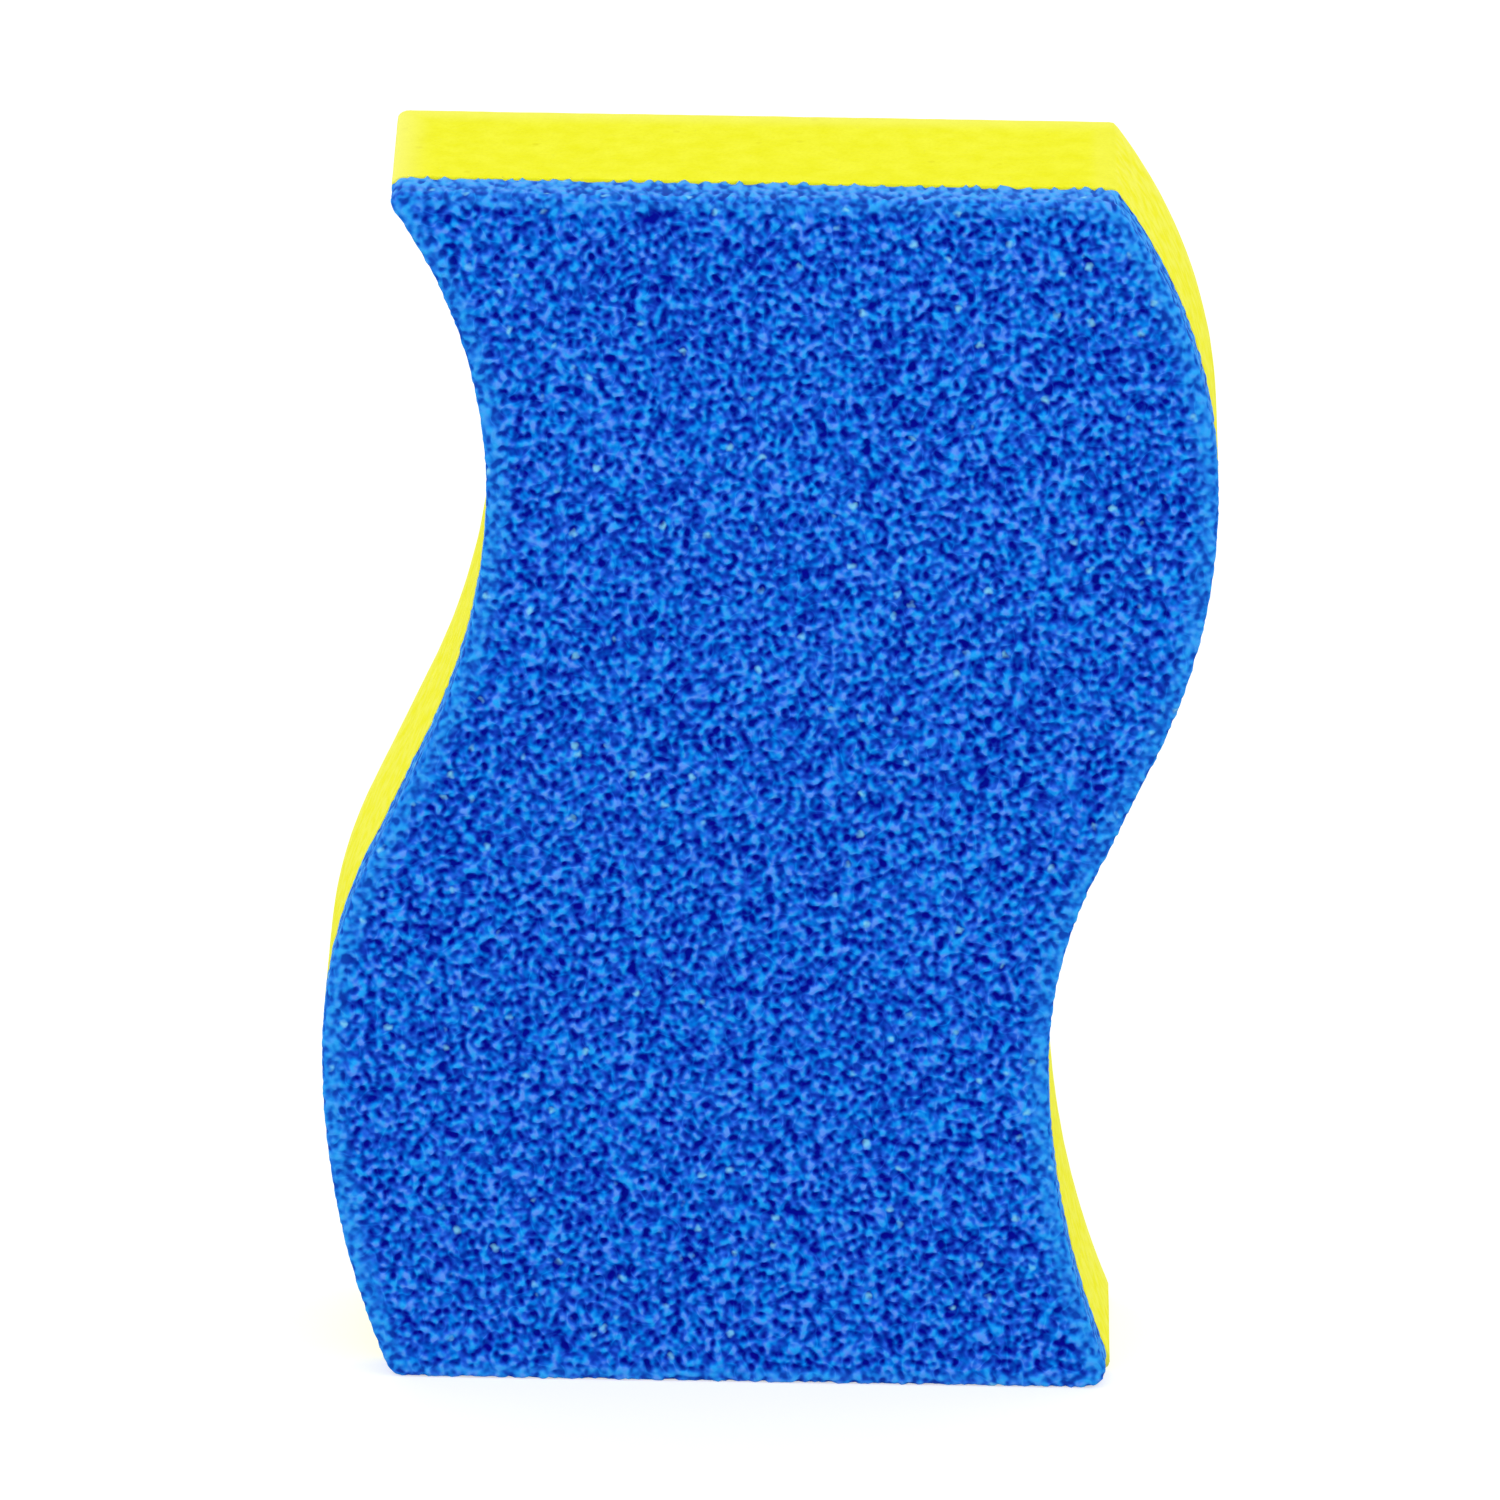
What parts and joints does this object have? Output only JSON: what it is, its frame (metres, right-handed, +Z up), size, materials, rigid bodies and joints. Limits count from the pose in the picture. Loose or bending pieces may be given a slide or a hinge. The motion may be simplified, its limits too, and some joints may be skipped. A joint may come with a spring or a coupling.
{
  "type": "cleaning sponge",
  "caption": "S-shaped cleaning sponge: a thin coarse scouring foam face bonded to a thick soft foam body, with parallel wavy sides and flat cut ends.",
  "frame": {"origin": "centre of the bounding box's bottom face, on the cut end that the sponge stands on", "axes": "+Z up the sponge's length, +Y out of the back of the fine foam body, -Y out of the scouring face, X across the wavy strip"},
  "size_m": [0.0846, 0.025, 0.12],
  "materials": {
    "scouring_foam": "coarse open-cell polyurethane foam, stiff and matt",
    "soft_foam": "fine open-cell polyurethane foam, soft and matt"
  },
  "bodies": {
    "root": {"scouring_layer": "scouring_foam", "foam_body": "soft_foam"}
  },
  "joints": []
}
